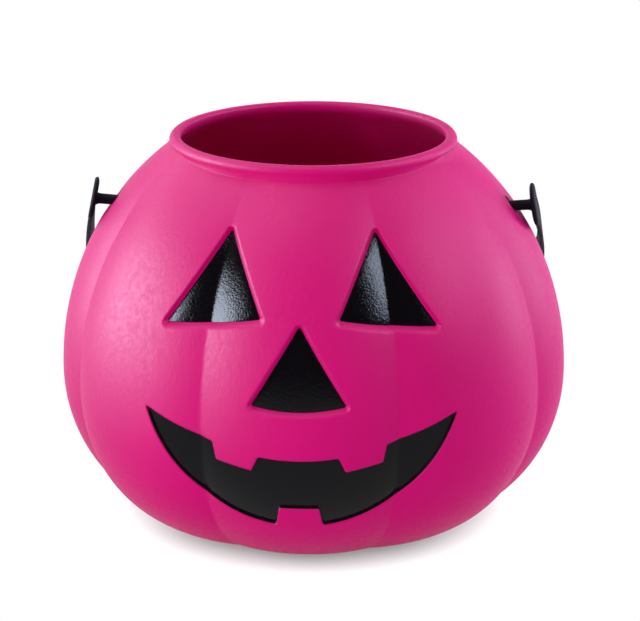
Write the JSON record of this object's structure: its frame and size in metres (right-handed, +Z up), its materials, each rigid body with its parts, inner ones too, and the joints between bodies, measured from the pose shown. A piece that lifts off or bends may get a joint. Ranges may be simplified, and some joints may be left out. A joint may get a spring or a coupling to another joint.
{
  "type": "pumpkin candy pail",
  "caption": "Hollow lobed pumpkin pail with a sunken carved-style face, an open rounded rim and a swinging strap handle, for carrying sweets.",
  "frame": {"origin": "middle of the flat base, on the surface the pail stands on", "axes": "+Z up through the open rim, -Y out of the face, +X to the right as the face is seen"},
  "size_m": [0.215, 0.2237, 0.1648],
  "materials": {
    "pink_plastic": "satin blow-moulded polyethylene",
    "black_paint": "gloss paint",
    "black_plastic": "satin moulded plastic"
  },
  "bodies": {
    "pail": {"pail_body": "pink_plastic", "left_eye_paint": "black_paint", "right_eye_paint": "black_paint", "nose_paint": "black_paint", "mouth_paint": "black_paint"},
    "handle": {"handle": "black_plastic"}
  },
  "joints": [
    {"name": "handle_swing", "type": "hinge", "parent": "pail", "child": "handle", "pos_m": [0, 0, 0.13454], "axis": [1, 0, 0], "range_deg": [0, 239]}
  ]
}
